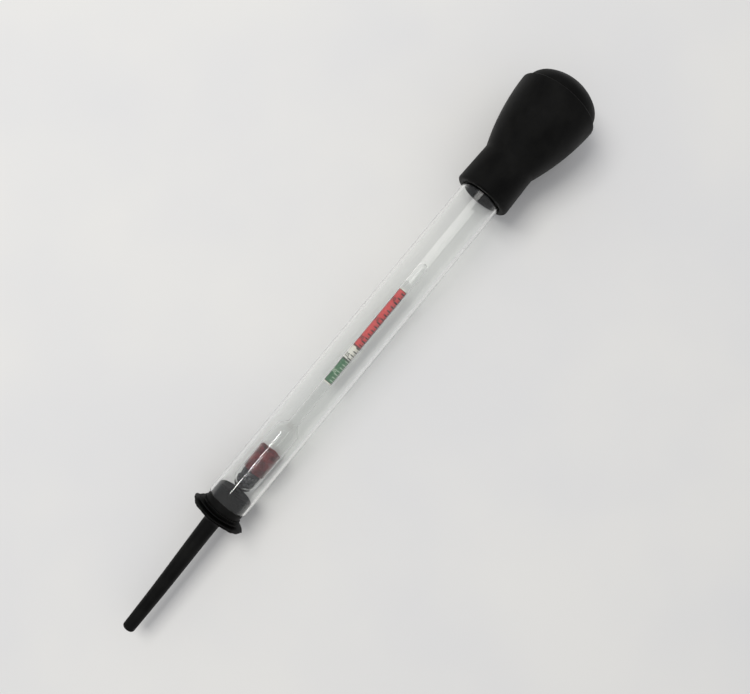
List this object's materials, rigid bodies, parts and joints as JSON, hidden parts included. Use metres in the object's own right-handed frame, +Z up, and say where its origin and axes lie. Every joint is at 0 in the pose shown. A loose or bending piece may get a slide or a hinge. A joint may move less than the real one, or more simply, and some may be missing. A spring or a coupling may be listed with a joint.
{
  "type": "suction hydrometer",
  "caption": "Suction hydrometer: rubber bulb and nozzle stopper on a glass barrel, with a weighted glass float and a coloured scale inside.",
  "frame": {"origin": "on the table under the middle of the object as it lies on its flange rim and the belly of its bulb", "axes": "+X along the barrel towards the bulb, which the resting tilt raises by 1.62 degrees; +Z up"},
  "size_m": [0.301, 0.0384, 0.0384],
  "materials": {
    "bulb_rubber": "satin",
    "stopper_rubber": "matte",
    "barrel_glass": "polished",
    "float_glass": "polished",
    "scale_paper": "matte",
    "shot_lead": "satin",
    "red_wax": "gloss"
  },
  "bodies": {
    "barrel": {"glass_barrel": "barrel_glass"},
    "bulb": {"suction_bulb": "bulb_rubber"},
    "stopper": {"nozzle_stopper": "stopper_rubber"},
    "float": {"float_glass": "float_glass", "scale_paper": "scale_paper", "lead_shot": "shot_lead", "sealing_wax": "red_wax"}
  },
  "joints": [
    {"name": "float_rise", "type": "slide", "parent": "barrel", "child": "float", "axis": [0.9996, 0, 0.0283], "range_m": [0, 0.0955]},
    {"name": "bulb_pull", "type": "slide", "parent": "barrel", "child": "bulb", "axis": [0.9996, 0, 0.0283], "range_m": [0, 0.018]},
    {"name": "stopper_pull", "type": "slide", "parent": "barrel", "child": "stopper", "axis": [-0.9996, 0, -0.0283], "range_m": [0, 0.008]}
  ]
}
